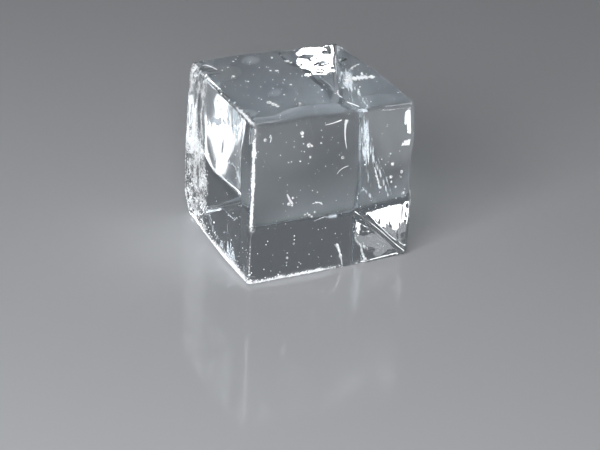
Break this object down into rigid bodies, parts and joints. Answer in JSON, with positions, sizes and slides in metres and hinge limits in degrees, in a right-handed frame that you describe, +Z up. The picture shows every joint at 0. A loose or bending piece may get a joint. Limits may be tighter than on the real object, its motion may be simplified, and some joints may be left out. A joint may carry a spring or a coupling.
{
  "type": "ice block",
  "caption": "Clear cube-shaped block of ice with worn edges and gently waved faces, standing on a flat base.",
  "frame": {"origin": "middle of the base's bounding rectangle, on the surface the block stands on", "axes": "+Z up, +X to the right and +Y to the back as seen from the front face"},
  "size_m": [0.0516, 0.0488, 0.0497],
  "materials": {
    "clear_ice": "clear ice, wet and smooth, frosted at the worn edges"
  },
  "bodies": {
    "root": {"ice_block": "clear_ice"}
  },
  "joints": []
}
